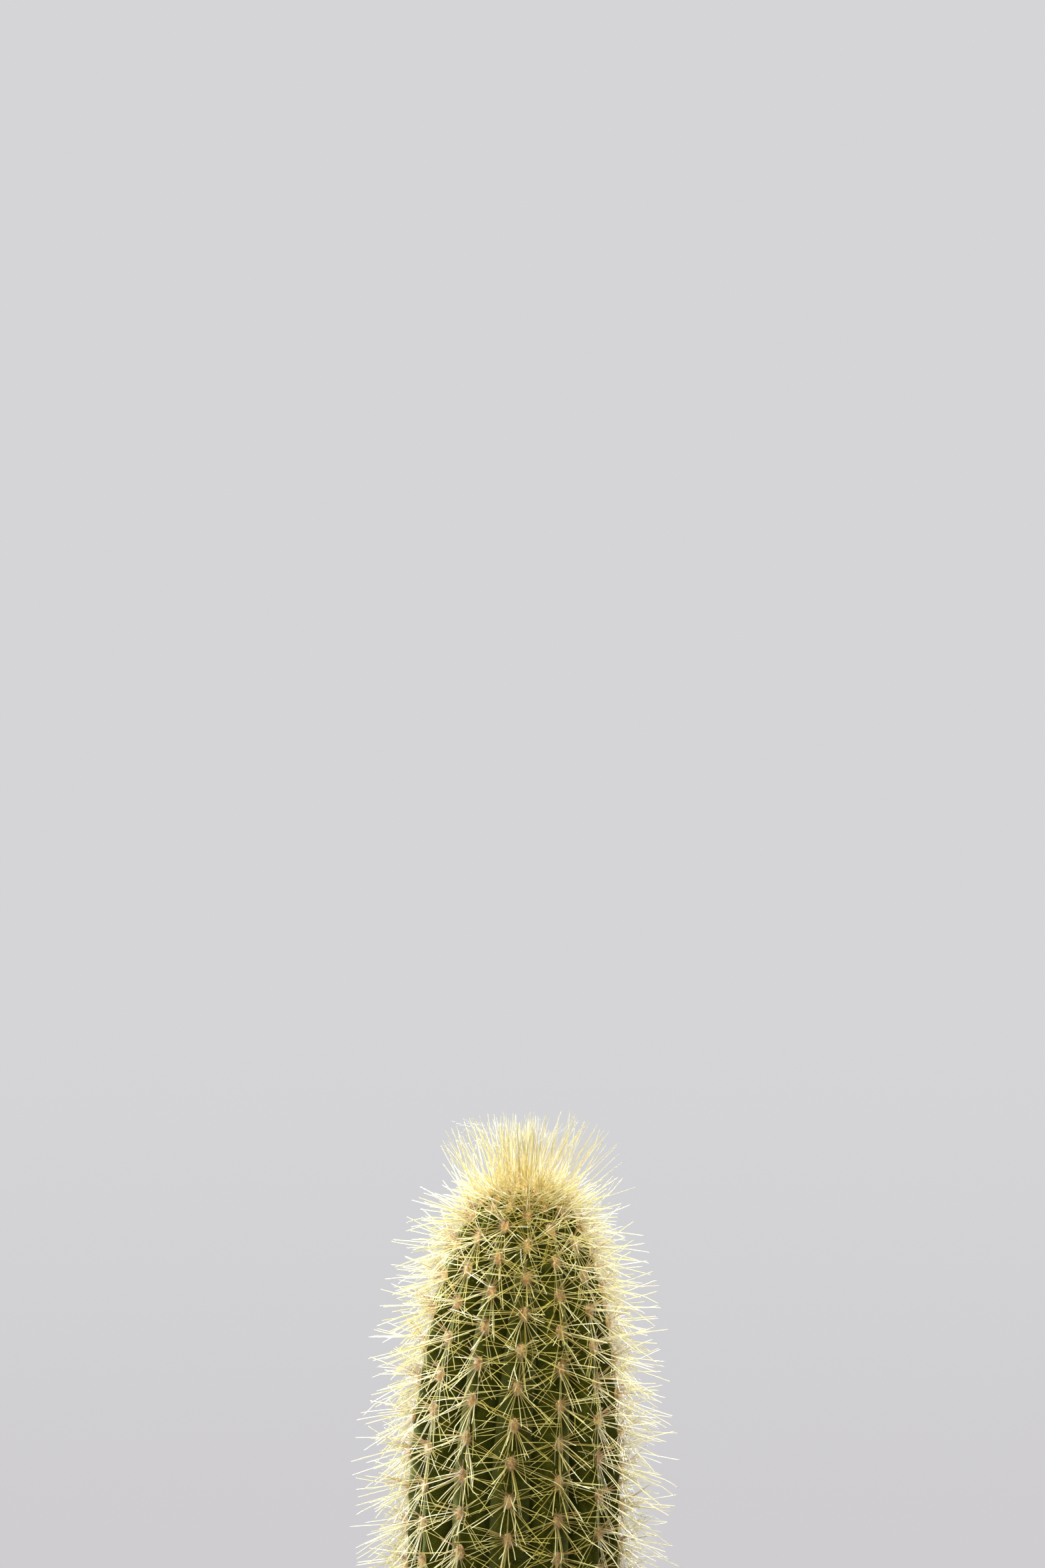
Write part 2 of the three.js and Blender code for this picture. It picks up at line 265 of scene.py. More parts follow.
def add_node(tree, kind, settings=None, **inputs):
    made = tree.nodes.new("ShaderNode" + kind)
    for key, value in (settings or {}).items():
        setattr(made, key, value)
    feed(tree, made, **inputs)
    return made


def grey(level):
    return (level, level, level)


def ramp(tree, share, stops):
    """Colours or greys along a share from 0 to 1. stops are (position, colour) pairs."""
    made = add_node(tree, "ValToRGB", Fac=share)
    elements = made.color_ramp.elements
    while len(elements) < len(stops):
        elements.new(1)
    for element, (position, colour) in zip(elements, stops):
        element.position = position
        element.color = (*colour, 1)
    return made.outputs["Color"]


def mixed(tree, share, first, second, way="MIX"):
    """A colour between two colours, or their product, by a share from 0 to 1."""
    made = add_node(tree, "Mix", {"data_type": "RGBA", "blend_type": way})
    for socket, value in ((made.inputs[0], share), (made.inputs[6], first), (made.inputs[7], second)):
        if isinstance(value, bpy.types.NodeSocket):
            tree.links.new(value, socket)
        elif isinstance(value, tuple):
            socket.default_value = (*value, 1)
        else:
            socket.default_value = value
    return made.outputs[2]


def blended(tree, share, first, second, target):
    """Blends two shaders by a share, for the target socket."""
    blend = add_node(tree, "MixShader", Fac=share)
    tree.links.new(first, blend.inputs[1])
    tree.links.new(second, blend.inputs[2])
    tree.links.new(blend.outputs["Shader"], target)


def between(tree, value, old_range, new_range, way="LINEAR"):
    """A value moved from one range to another, and kept inside it."""
    made = add_node(tree, "MapRange", {"interpolation_type": way}, Value=value)
    for name, number in zip(("From Min", "From Max", "To Min", "To Max"), (*old_range, *new_range)):
        made.inputs[name].default_value = number
    return made.outputs["Result"]


def object_place(tree):
    return add_node(tree, "TexCoord").outputs["Object"]


def stored(tree, name):
    """A number that mark() stored on the piece."""
    return add_node(tree, "Attribute", {"attribute_name": name}).outputs["Fac"]


def new_material(name):
    """A material with its shader: (material, tree, Principled BSDF, output node)."""
    material = bpy.data.materials.new(name)
    material.use_nodes = True
    tree = material.node_tree
    return material, tree, tree.nodes["Principled BSDF"], tree.nodes["Material Output"]


def mottle_group():
    """Soft blotches and fine grain: a mask of each, and a normal roughened by the grain."""
    group = bpy.data.node_groups.new("mottle", "ShaderNodeTree")
    sockets = group.interface
    for name, value in (("Blotch Scale", 60.0), ("Grain Scale", 900.0), ("Relief", 0.1 * MM)):
        made = sockets.new_socket(name, in_out="INPUT", socket_type="NodeSocketFloat")
        made.default_value = value
    for name in ("Blotches", "Grain"):
        sockets.new_socket(name, in_out="OUTPUT", socket_type="NodeSocketFloat")
    sockets.new_socket("Normal", in_out="OUTPUT", socket_type="NodeSocketVector")
    inside = group.nodes.new("NodeGroupInput").outputs
    outside = group.nodes.new("NodeGroupOutput")
    place = object_place(group)
    blotches = add_node(group, "TexNoise", Vector=place, Scale=inside["Blotch Scale"], Detail=4.0)
    grain = add_node(group, "TexNoise", Vector=place, Scale=inside["Grain Scale"], Detail=3.0)
    bump = add_node(group, "Bump", Height=grain.outputs["Fac"], Distance=inside["Relief"])
    feed(group, outside, Blotches=blotches.outputs["Fac"], Grain=grain.outputs["Fac"])
    feed(group, outside, Normal=bump.outputs["Normal"])
    return group


MOTTLE = mottle_group()


def mottle(tree, blotch_scale, grain_scale, relief):
    """The mottled surface's outputs: Blotches, Grain and Normal."""
    made = add_node(tree, "Group", {"node_tree": MOTTLE})
    feed(tree, made, Blotch_Scale=blotch_scale, Grain_Scale=grain_scale, Relief=relief)
    return made.outputs


# Blotches and grain run from 0 to 1, and so do the furrow shade, cork, spot, bloom and tint marks. The furrow
# shade mark is painted shade.
SKIN_GREENS = (
    (0.3, (0.022, 0.026, 0.002)),
    (0.5, (0.039, 0.045, 0.004)),
    (0.7, (0.064, 0.072, 0.009)),
)
SKIN_SPECK = (0.12, 0.135, 0.032)
# Painted shade: the skin turns towards this deep green in the furrows.
FURROW_SHADE_GREEN = (0.010, 0.015, 0.001)
FURROW_SHADE_STOPS = ((0.0, grey(0)), (0.55, grey(0.1)), (1.0, grey(1)))
CORK_TONES = ((0.35, (0.16, 0.12, 0.065)), (0.65, (0.30, 0.24, 0.14)))


def skin_material():
    """The stem's skin: speckled green, darker in the furrows by painted shade, corky brown at the foot."""
    material, tree, shader, _ = new_material("cactus_skin")
    surface = mottle(tree, blotch_scale=420, grain_scale=2600, relief=0.1 * MM)
    spots = add_node(tree, "TexNoise", Vector=object_place(tree), Scale=3400.0, Detail=2.0)
    speck = ramp(tree, spots.outputs["Fac"], ((0.56, grey(0)), (0.68, grey(0.8))))
    speckled = mixed(tree, speck, ramp(tree, surface["Blotches"], SKIN_GREENS), SKIN_SPECK)
    # Painted shade in the furrows, growing from the rib crests into the furrows.
    painted_furrow_shade = ramp(tree, stored(tree, "painted_furrow_shade"), FURROW_SHADE_STOPS)
    furrow_shaded = mixed(tree, painted_furrow_shade, speckled, FURROW_SHADE_GREEN)
    cork = ramp(tree, surface["Grain"], CORK_TONES)
    feed(
        tree,
        shader,
        Base_Color=mixed(tree, stored(tree, "cork"), furrow_shaded, cork),
        Normal=surface["Normal"],
        Roughness=0.6,
        IOR=1.03,
        Sheen_Weight=0.6,
        Sheen_Roughness=0.45,
        Sheen_Tint=(0.52, 0.58, 0.26, 1),
    )
    return material


def see_through(tree, shader, output, colour, share, whiteness):
    """Lets a share of the light pass through thin spines and wool. It comes out paler than the
    surface, by the whiteness."""
    passing = add_node(tree, "BsdfTranslucent")
    feed(tree, passing, Color=mixed(tree, whiteness, colour, grey(0.98)))
    feed(tree, shader, Base_Color=colour)
    blended(tree, share, shader.outputs["BSDF"], passing.outputs["BSDF"], output.inputs["Surface"])


# Colours along a spine, from 0 at its root to 1 at its tip.
PALE_SPINE = (
    (0.03, (0.47, 0.28, 0.04)),
    (0.1, (0.57, 0.49, 0.11)),
    (0.6, (0.64, 0.60, 0.23)),
    (1.0, (0.72, 0.70, 0.44)),
)
GOLDEN_SPINE = (
    (0.03, (0.36, 0.15, 0.01)),
    (0.18, (0.48, 0.34, 0.01)),
    (0.6, (0.55, 0.47, 0.025)),
    (1.0, (0.62, 0.57, 0.10)),
)
BROWN_SPINE = (
    (0.04, (0.25, 0.065, 0.01)),
    (0.3, (0.42, 0.17, 0.016)),
    (0.8, (0.50, 0.26, 0.03)),
    (1.0, (0.42, 0.20, 0.03)),
)
# Painted light and shade: the young spines are brighter at the root than at the tip, for the light on the
# tuft's base.
STRAW_YOUNG_SPINE_LIT_ROOT = ((0.08, (0.85, 0.74, 0.36)), (0.35, (0.79, 0.74, 0.43)), (1.0, (0.65, 0.63, 0.45)))
GOLD_YOUNG_SPINE_LIT_ROOT = ((0.08, (0.80, 0.62, 0.17)), (0.35, (0.70, 0.58, 0.18)), (1.0, (0.52, 0.48, 0.23)))


def spine_material():
    """Spines: brown-orange at the root. The tint goes from pale straw through gold to brown."""
    material, tree, shader, output = new_material("spine")
    along = stored(tree, "along")
    pale = ramp(tree, along, PALE_SPINE)
    golden = ramp(tree, along, GOLDEN_SPINE)
    brown = ramp(tree, along, BROWN_SPINE)
    tint = stored(tree, "tint")
    colour = mixed(tree, between(tree, tint, (0.0, 0.5), (0, 1)), pale, golden)
    colour = mixed(tree, between(tree, tint, (0.6, 1.0), (0, 1)), colour, brown)
    whiteness = between(tree, tint, (0.0, 0.6), (0.97, 0.55))
    see_through(tree, shader, output, colour, 0.62, whiteness)
    feed(tree, shader, Roughness=0.3, Specular_IOR_Level=0.6, Coat_Weight=0.2, Coat_Roughness=0.25)
    return material


def crown_spine_material():
    """Young spines, warmer at the root, and brighter there than at the tip: painted light on the tuft's base
    and painted shade on its tips. The tint goes from straw at the sides to gold in the middle.
    """
    material, tree, shader, output = new_material("crown_spine")
    along = stored(tree, "along")
    straw = ramp(tree, along, STRAW_YOUNG_SPINE_LIT_ROOT)
    gold = ramp(tree, along, GOLD_YOUNG_SPINE_LIT_ROOT)
    tint = stored(tree, "tint")
    colour = mixed(tree, tint, straw, gold)
    whiteness = between(tree, tint, (0, 1), (0.75, 0.15))
    see_through(tree, shader, output, colour, 0.65, whiteness)
    feed(tree, shader, Roughness=0.35, Specular_IOR_Level=0.5)
    return material


WOOL_BEIGES = ((0.3, (0.90, 0.56, 0.25)), (0.5, (1.0, 0.72, 0.42)), (0.7, (1.0, 0.88, 0.63)))
WOOL_SPOT = (0.50, 0.21, 0.03)


def wool_material():
    """Areole wool: pinkish beige, with reddish spots where the spines come out."""
    material, tree, shader, output = new_material("areole_wool")
    surface = mottle(tree, blotch_scale=900, grain_scale=4000, relief=0.2 * MM)
    beige = ramp(tree, surface["Blotches"], WOOL_BEIGES)
    colour = mixed(tree, stored(tree, "spot"), beige, WOOL_SPOT)
    see_through(tree, shader, output, colour, 0.12, 0.3)
    feed(tree, shader, Normal=surface["Normal"], Roughness=0.9, Specular_IOR_Level=0.1)
    feed(tree, shader, Sheen_Weight=0.8, Sheen_Tint=(1.0, 0.72, 0.42, 1))
    return material


# Each kind of hair has a colour at its root and another at its tip.
FELT_COLOURS = ((1.0, 0.70, 0.39), (1.0, 0.94, 0.80))
YOUNG_FELT_COLOURS = ((0.96, 0.76, 0.30), (1.0, 0.94, 0.62))
COBWEB_COLOURS = ((0.9, 0.88, 0.82), (0.95, 0.95, 0.93))


def hair_material(name, root, tip):
    """Fine hair that lets nearly half of the light through."""
    material, tree, shader, output = new_material(name)
    colour = ramp(tree, stored(tree, "along"), ((0.0, root), (1.0, tip)))
    see_through(tree, shader, output, colour, 0.45, 0.6)
    feed(tree, shader, Roughness=0.6, Sheen_Weight=0.8, Sheen_Tint=(*root, 1))
    return material


CLAY_TONES = ((0.3, (0.36, 0.130, 0.062)), (0.5, (0.45, 0.175, 0.084)), (0.7, (0.52, 0.23, 0.125)))
CLAY_PORES = ((0.36, grey(0.6)), (0.5, grey(1)), (0.68, (1.12, 1.1, 1.06)))
LIME_BLOOM = (0.60, 0.44, 0.35)


def clay_material():
    """Fired clay: mottled orange, pale lime bloom towards the foot and the rim, fine pores."""
    material, tree, shader, _ = new_material("fired_clay")
    surface = mottle(tree, blotch_scale=38, grain_scale=1500, relief=0.25 * MM)
    clay = ramp(tree, surface["Blotches"], CLAY_TONES)
    pores = ramp(tree, surface["Grain"], CLAY_PORES)
    grainy = mixed(tree, 0.55, clay, pores, "MULTIPLY")
    clouds = add_node(tree, "TexNoise", Vector=object_place(tree), Scale=22.0, Detail=6.0)
    cloudy = ramp(tree, clouds.outputs["Fac"], ((0.48, grey(0)), (0.72, grey(1))))
    bloom = add_node(tree, "Math", {"operation": "MULTIPLY"})
    tree.links.new(cloudy, bloom.inputs[0])
    tree.links.new(stored(tree, "bloom"), bloom.inputs[1])
    bloomed = mixed(tree, bloom.outputs["Value"], grainy, LIME_BLOOM)
    feed(tree, shader, Base_Color=bloomed, Normal=surface["Normal"])
    feed(tree, shader, Roughness=0.86, Specular_IOR_Level=0.25)
    return material


SOIL_TONES = ((0.35, (0.020, 0.013, 0.009)), (0.55, (0.055, 0.036, 0.024)), (0.75, (0.13, 0.09, 0.06)))


def soil_material():
    """Dark potting soil with paler crumbs."""
    material, tree, shader, _ = new_material("potting_soil")
    surface = mottle(tree, blotch_scale=420, grain_scale=1800, relief=0.8 * MM)
    tone = ramp(tree, surface["Blotches"], SOIL_TONES)
    feed(tree, shader, Base_Color=tone, Normal=surface["Normal"], Roughness=0.95)
    return material


STONE_TONES = (
    (0.0, (0.17, 0.155, 0.14)),
    (0.3, (0.34, 0.30, 0.25)),
    (0.55, (0.46, 0.40, 0.31)),
    (0.8, (0.56, 0.53, 0.48)),
    (1.0, (0.74, 0.72, 0.68)),
)


def grit_material():
    """Grit: each stone has its own tone between grey, buff and white, with a fine grain."""
    material, tree, shader, _ = new_material("grit_stone")
    surface = mottle(tree, blotch_scale=700, grain_scale=3200, relief=0.3 * MM)
    stone = ramp(tree, stored(tree, "tint"), STONE_TONES)
    veins = ramp(tree, surface["Blotches"], ((0.35, grey(0.72)), (0.6, grey(1))))
    veined = mixed(tree, 1.0, stone, veins, "MULTIPLY")
    feed(tree, shader, Base_Color=veined, Normal=surface["Normal"], Roughness=0.75)
    return material


# ---- Stem -----------------------------------------------------------------------------------

COLUMNS_PER_RIB = 16
STEM_ROWS = 240
SWELLING_HEIGHT = 0.28 * MM
SWELLINGS_START = (6 * MM, 20 * MM)
FURROW_SHADE_START = (6 * MM, 24 * MM)
WRINKLE_DEPTH = 0.09 * MM
WRINKLE_SCALE = 260
WRINKLES_FROM = 2 * MM
CORK_EDGE = (GRIT_TOP + 4 * MM, GRIT_TOP + 22 * MM)
CORK_RAGGEDNESS = 5 * MM


def areole_arcs(rib):
    """Arc lengths of a rib's areoles below the crown, from the apex down."""
    counts = RIB_SHIFTS[rib] + np.arange(MOST_AREOLES)
    arcs = AREOLE_SPACING * (counts - CLOSING * CLOSING_RANGE * (1 - np.exp(-counts / CLOSING_RANGE)))
    heights = APEX_Z - np.interp(arcs, LINE_ARC, LINE_DEPTH)
    return arcs[(arcs > CROWN_ARC) & (heights > LOWEST_AREOLE)]


def swelling(arc, place):
    """How far the rib swells under each areole and sinks between them, as a share from -1 to 1."""
    nearest_rib = np.round(place).astype(int) % RIB_COUNT
    result = np.zeros(arc.shape)
    for rib in range(RIB_COUNT):
        here = nearest_rib == rib
        areoles = areole_arcs(rib)
        counts = np.interp(arc[here], areoles, np.arange(len(areoles)))
        result[here] = np.cos(TURN * counts)
    return result


def stem():
    """A grid wrapped round the stem, with ribs, swellings under the areoles and fine wrinkles."""
    start_fresh()
    columns = RIB_COUNT * COLUMNS_PER_RIB
    bpy.ops.mesh.primitive_grid_add(x_subdivisions=columns, y_subdivisions=STEM_ROWS, size=1)
    piece = bpy.context.object
    piece.name = "stem"
    flat = points_of(piece)
    place = (flat[:, 0] + 0.5) * RIB_COUNT
    share = 0.5 - flat[:, 1]
    arc = LINE_LENGTH * np.clip(share * STEM_ROWS / (STEM_ROWS - 1), 0, 1)
    points = stem_points(arc, place)
    height = points[:, 2]
    # The tiny upward share gives the apex, which is on the axis, a direction too.
    outwards = unit(points * (1, 1, 0) + (0, 0, 1e-9))
    from_crest = np.abs(2 * (place - np.round(place)))
    fade = smooth_step(arc, *SWELLINGS_START) * smooth_step(height, GRIT_TOP, GRIT_TOP + CORKY_HEIGHT)
    relief = SWELLING_HEIGHT * swelling(arc, place) * (1 - from_crest) * fade
    wrinkles = soft_noise(points, WRINKLE_SCALE)
    relief += WRINKLE_DEPTH * wrinkles * (arc > WRINKLES_FROM)
    points += outwards * relief[:, None]
    last_row = share > 1 - 0.5 / STEM_ROWS
    points[last_row, :2] = 0
    set_points(piece, leaned(points))
    # Painted shade: the skin is marked darker from the rib crests into the furrows.
    mark(piece, "painted_furrow_shade", from_crest * smooth_step(arc, *FURROW_SHADE_START))
    mark(piece, "cork", 1 - smooth_step(height + CORK_RAGGEDNESS * wrinkles, *CORK_EDGE))
    closed_up(piece)
    return finish_piece(piece, skin_material(), "cactus")


# ---- Areoles --------------------------------------------------------------------------------

YOUNG_ARCS = np.array([2.4, 4.6, 7.0, 9.7, 12.6]) * MM
YOUNG_SHIFT = 1.6 * MM
SLOPE_STEP = 0.2 * MM
CUSHION_HALF = np.array([1.15, 1.8, 0.8]) * MM
CUSHION_SIZES = (0.88, 1.12)
CUSHION_LUMP_SCALE = 2.6
CUSHION_LUMP_DEPTH = 0.16
YOUNG_CUSHION_SIZE = 0.8
SPOT_SPREAD = 0.75
SPOT_SCALE = 3.4
SPOT_EDGE = (-0.15, 0.15)
SPOT_STRENGTH = 0.85


def areole_frames(arcs_of_rib):
    """Where the areoles sit: points, the directions across, up and out, and arc lengths from the
    apex, with one row for each areole."""
    arcs = [arcs_of_rib(rib) for rib in range(RIB_COUNT)]
    place = np.concatenate([np.full(len(found), float(rib)) for rib, found in enumerate(arcs)])
    arc = np.concatenate(arcs)
    points = stem_points(arc, place)
    above, below = stem_points(arc - SLOPE_STEP, place), stem_points(arc + SLOPE_STEP, place)
    angle = np.arctan2(points[:, 1], points[:, 0])
    across = np.stack([-np.sin(angle), np.cos(angle), np.zeros(len(angle))], axis=-1)
    up = unit(above - below)
    up = unit(up - across * np.sum(up * across, axis=-1, keepdims=True))
    return points, across, up, np.cross(across, up), arc


def areoles_past(frames, start):
    """The areoles further from the apex than an arc length."""
    arc = frames[-1]
    return [column[arc > start] for column in frames]


def crown_arcs(rib):
    """The young areoles in the crown, close together and shifted from rib to rib."""
    return YOUNG_ARCS + YOUNG_SHIFT * (rib * GOLDEN_SHARE % 1)


def placed(frames, local):
    """Points given across, up and out of each areole, moved to the plant: (areole, point, xyz)."""
    points, across, up, out, _ = frames
    moved = (
        points[:, None]
        + local[..., 0:1] * across[:, None]
        + local[..., 1:2] * up[:, None]
        + local[..., 2:3] * out[:, None]
    )
    return leaned(moved)


def cushion_pattern():
    """One woolly cushion: a squashed ball with a lumpy skin."""
    start_fresh()
    bpy.ops.mesh.primitive_ico_sphere_add(subdivisions=3, radius=1)
    pattern = bpy.context.object
    points = points_of(pattern)
    lumps = CUSHION_LUMP_DEPTH * soft_noise(points, CUSHION_LUMP_SCALE)
    set_points(pattern, points * (1 + lumps[:, None]))
    return pattern


def cushions(name, frames, size, material, random):
    """A cushion on each areole, with reddish spots at its middle."""
    pattern = cushion_pattern()
    ball = points_of(pattern)
    count = len(frames[0])
    sizes = CUSHION_HALF * size * random.uniform(*CUSHION_SIZES, (count, 1, 3))
    piece = copies_of(pattern, name, placed(frames, ball * sizes))
    x, y, z = ball.T
    middle = np.exp(-((x / SPOT_SPREAD) ** 2 + (y / SPOT_SPREAD) ** 2)) * (z > 0)
    spots = smooth_step(soft_noise(ball, SPOT_SCALE), *SPOT_EDGE)
    mark(piece, "spot", np.tile(SPOT_STRENGTH * middle * spots, count))
    bpy.data.objects.remove(pattern)
    return finish_piece(piece, material, "cactus")


# ---- Spines ---------------------------------------------------------------------------------


def needle_pattern(sides, rings, fullness, bunching=1.0):
    """A straight spine along +Z, of length and root radius 1, drawn out ring by ring to its tip. The
    rings crowd towards the tip with more bunching, which leaves the end blunt."""
    start_fresh()
    bpy.ops.mesh.primitive_circle_add(vertices=sides, radius=1, fill_type="NGON")
    pattern = bpy.context.object
    edit_whole(pattern)
    width, height = 1.0, 0.0
    for ring in range(1, rings + 1):
        left = 1 - ring / (rings + 1)
        narrower, higher = left**fullness, 1 - left**bunching
        bpy.ops.mesh.extrude_region_move(TRANSFORM_OT_translate={"value": (0, 0, higher - height)})
        bpy.ops.transform.resize(value=(narrower / width, narrower / width, 1))
        width, height = narrower, higher
    bpy.ops.mesh.extrude_region_move(TRANSFORM_OT_translate={"value": (0, 0, 1 - height)})
    bpy.ops.mesh.merge(type="CENTER")
    bpy.ops.object.mode_set(mode="OBJECT")
    closed_up(pattern)
    return pattern


def grown(name, pattern, roots, directions, lengths, radius, bends, kinks=None):
    """Copies of a spine or hair, each from its root in its direction, bent by its own bend. Kinks
    are the share of the length where each one turns aside, and how far. Arrays have a row for each
    copy."""
    template = points_of(pattern)
    share = template[:, 2]
    # The small share of the direction keeps the sum from being nothing where there is no bend.
    side = unit(np.cross(directions, unit(bends + directions * 1e-3)))
    other = np.cross(directions, side)
    span = lengths[:, None, None]
    places = roots[:, None] + directions[:, None] * span * share[None, :, None]
    places = places + bends[:, None] * span * (share**2)[None, :, None]
    if kinks is not None:
        kink_places, kink_turns = kinks
        past = np.maximum(share[None] - kink_places[:, None], 0)
        places = places + kink_turns[:, None] * span * past[..., None]
    width = radius[:, None, None]
    places = places + side[:, None] * template[None, :, 0:1] * width
    places = places + other[:, None] * template[None, :, 1:2] * width
    piece = copies_of(pattern, name, leaned(places))
    mark(piece, "along", np.tile(share, len(roots)))
    return piece


def sideways(random, directions):
    """A random unit vector square to each direction."""
    return unit(np.cross(directions, random.normal(size=directions.shape)))


def bent(random, directions, low, high):
    """A random bend for each spine, a share of its length."""
    return sideways(random, directions) * random.uniform(low, high, (len(directions), 1))


# Each kind of spine on an areole: how many, the clock angles that they spread over (0 is up the rib
# and 90 to the right), how far they lean from upright, their length and radius in millimetres, and
# their tint.
RIGHT_FAN = dict(count=6, clock=(44, 136), lean=(58, 86), length=(9.5, 14.5), radius=0.098, tint=(0.4, 0.65))
LEFT_FAN = RIGHT_FAN | {"clock": (-136, -44)}
LOWER_FAN = dict(count=4, clock=(158, 202), lean=(60, 86), length=(9, 14), radius=0.09, tint=(0.05, 0.35))
BRISTLES = dict(count=6, clock=(-50, 50), lean=(22, 62), length=(3.5, 7.5), radius=0.11, tint=(0.75, 1.0))
CENTRALS = dict(count=6, clock=(0, 360), lean=(4, 36), length=(10.5, 16.5), radius=0.125, tint=(0.0, 0.35))
LOW_CENTRALS = dict(count=3, clock=(60, 300), lean=(45, 74), length=(11, 16.5), radius=0.115, tint=(0.2, 0.5))
SPINE_KINDS = (RIGHT_FAN, LEFT_FAN, LOWER_FAN, BRISTLES, CENTRALS, LOW_CENTRALS)
YOUNG_KINDS = tuple(kind | {"count": 4} for kind in (RIGHT_FAN, LEFT_FAN, CENTRALS))
RIGHT_CROSSING = dict(count=2, clock=(40, 130), lean=(50, 80), length=(6, 10), radius=0.1, tint=(0.0, 0.7))
CROSSING_KINDS = (RIGHT_CROSSING, RIGHT_CROSSING | {"clock": (-130, -40)})

SLOT_SHARES = (0.1, 0.9)
CLOCK_SCATTER = 12
SPINE_DROOP = 0.32
SPINE_BEND = (0.02, 0.11)
SPINE_SAG = 0.015
SPINE_SUNK = 0.9 * MM
ROOT_SPREAD = np.array([1.0, 1.7]) * MM
ROOT_SPREAD_SHARES = (0.3, 1)
ROOTS_AT_ENDS = 1.3
ROOT_HEIGHT = 0.35
RADIUS_SHARES = (0.85, 1.15)
KINKED_SHARE = 0.16
KINK_PLACES = (0.55, 0.85)
KINK_TURNS = (0.15, 0.5)
YOUNG_LENGTH = 0.75
BARE_CROWN = 9 * MM
CROSSING_FROM = 4.5 * MM


def spine_draws(frames, kinds, size, random):
    """Roots, directions, lengths, radii and tints of the spines of all the areoles."""
    points, across, up, out, _ = frames
    count = len(points)
    draws = []
    for kind in kinds:
        for number in range(kind["count"]):
            spread = (number + random.uniform(*SLOT_SHARES, count)) / kind["count"]
            clock = np.radians(lerp(*kind["clock"], spread) + random.normal(0, CLOCK_SCATTER, count))
            lean = np.radians(random.uniform(*kind["lean"], count))
            direction = (
                out * np.cos(lean)[:, None]
                + across * (np.sin(lean) * np.sin(clock))[:, None]
                + up * (np.sin(lean) * np.cos(clock))[:, None]
            )
            direction = unit(direction - up * (SPINE_DROOP * np.cos(lean))[:, None])
            aside = ROOT_SPREAD[0] * np.sin(clock) * random.uniform(*ROOT_SPREAD_SHARES, count)
            along = ROOT_SPREAD[1] * np.clip(ROOTS_AT_ENDS * np.cos(clock), -1, 1)
            along = along * random.uniform(*ROOT_SPREAD_SHARES, count)
            root = points + out * CUSHION_HALF[2] * ROOT_HEIGHT
            root = root + across * aside[:, None] + up * along[:, None] - direction * SPINE_SUNK
            length = random.uniform(*kind["length"], count) * MM * size + SPINE_SUNK
            radius = kind["radius"] * MM * random.uniform(*RADIUS_SHARES, count)
            tint = random.uniform(*kind["tint"], count)
            draws.append((root, direction, length, radius, tint))
    return [np.concatenate(column) for column in zip(*draws)]


def spine_piece(name, pattern, draws, bend, material, random):
    """One piece of many spines. Each sags a little, and a few have a kink."""
    root, direction, length, radius, tint = draws
    bends = bent(random, direction, *bend)
    bends[:, 2] -= SPINE_SAG
    kink_places = random.uniform(*KINK_PLACES, len(root))
    kink_turns = bent(random, direction, *KINK_TURNS) * (random.random((len(root), 1)) < KINKED_SHARE)
    kinks = (kink_places, kink_turns)
    piece = grown(name, pattern, root, direction, length, radius, bends, kinks)
    mark(piece, "tint", np.repeat(tint, len(pattern.data.vertices)))
    return finish_piece(piece, material, "cactus")


def areole_spines(name, frames, kinds, size, parts, material, random):
    """The spines of the areoles, in several pieces."""
    pattern = needle_pattern(sides=5, rings=6, fullness=0.2, bunching=1.7)
    draws = spine_draws(frames, kinds, size, random)
    order = random.permutation(len(draws[0]))
    for number, part in enumerate(np.array_split(order, parts)):
        chosen = [column[part] for column in draws]
        spine_piece(f"{name}_{number + 1}", pattern, chosen, SPINE_BEND, material, random)
    bpy.data.objects.remove(pattern)


# Down the shoulders the tuft thins out over the first pair of arc lengths, and its spines change
# from the middle's to the outer edge's over the second pair.
TUFT_SPINES_EACH = 5
TUFT_FADE_ARCS = (3 * MM, 33 * MM)
TUFT_OUTER_ARCS = (9 * MM, 25 * MM)

# The value in the tuft's middle, and the value at its outer edge.
TUFT_UPRIGHTNESS = (0.42, 0.3)
TUFT_LONGEST = (23 * MM, 15 * MM)
TUFT_TINT = (0.8, 0.0)

# How evenly the tuft grows. Its tips reach a level above the apex, and a pair is a range.
TUFT_BUNCHING = 0.13
TUFT_STRAGGLING = 0.12
TUFT_TINT_SCATTER = 0.15
TUFT_ROOT_SCATTER = 0.6 * MM
TUFT_LEVEL = (11.5 * MM, 18.5 * MM)
TUFT_UNEVEN = (-1.5 * MM, 1.5 * MM)
TUFT_SHORTEST = 11 * MM
TUFT_SUNK = 2 * MM
TUFT_RADIUS = (0.065 * MM, 0.095 * MM)
TUFT_BEND = (0.0, 0.06)


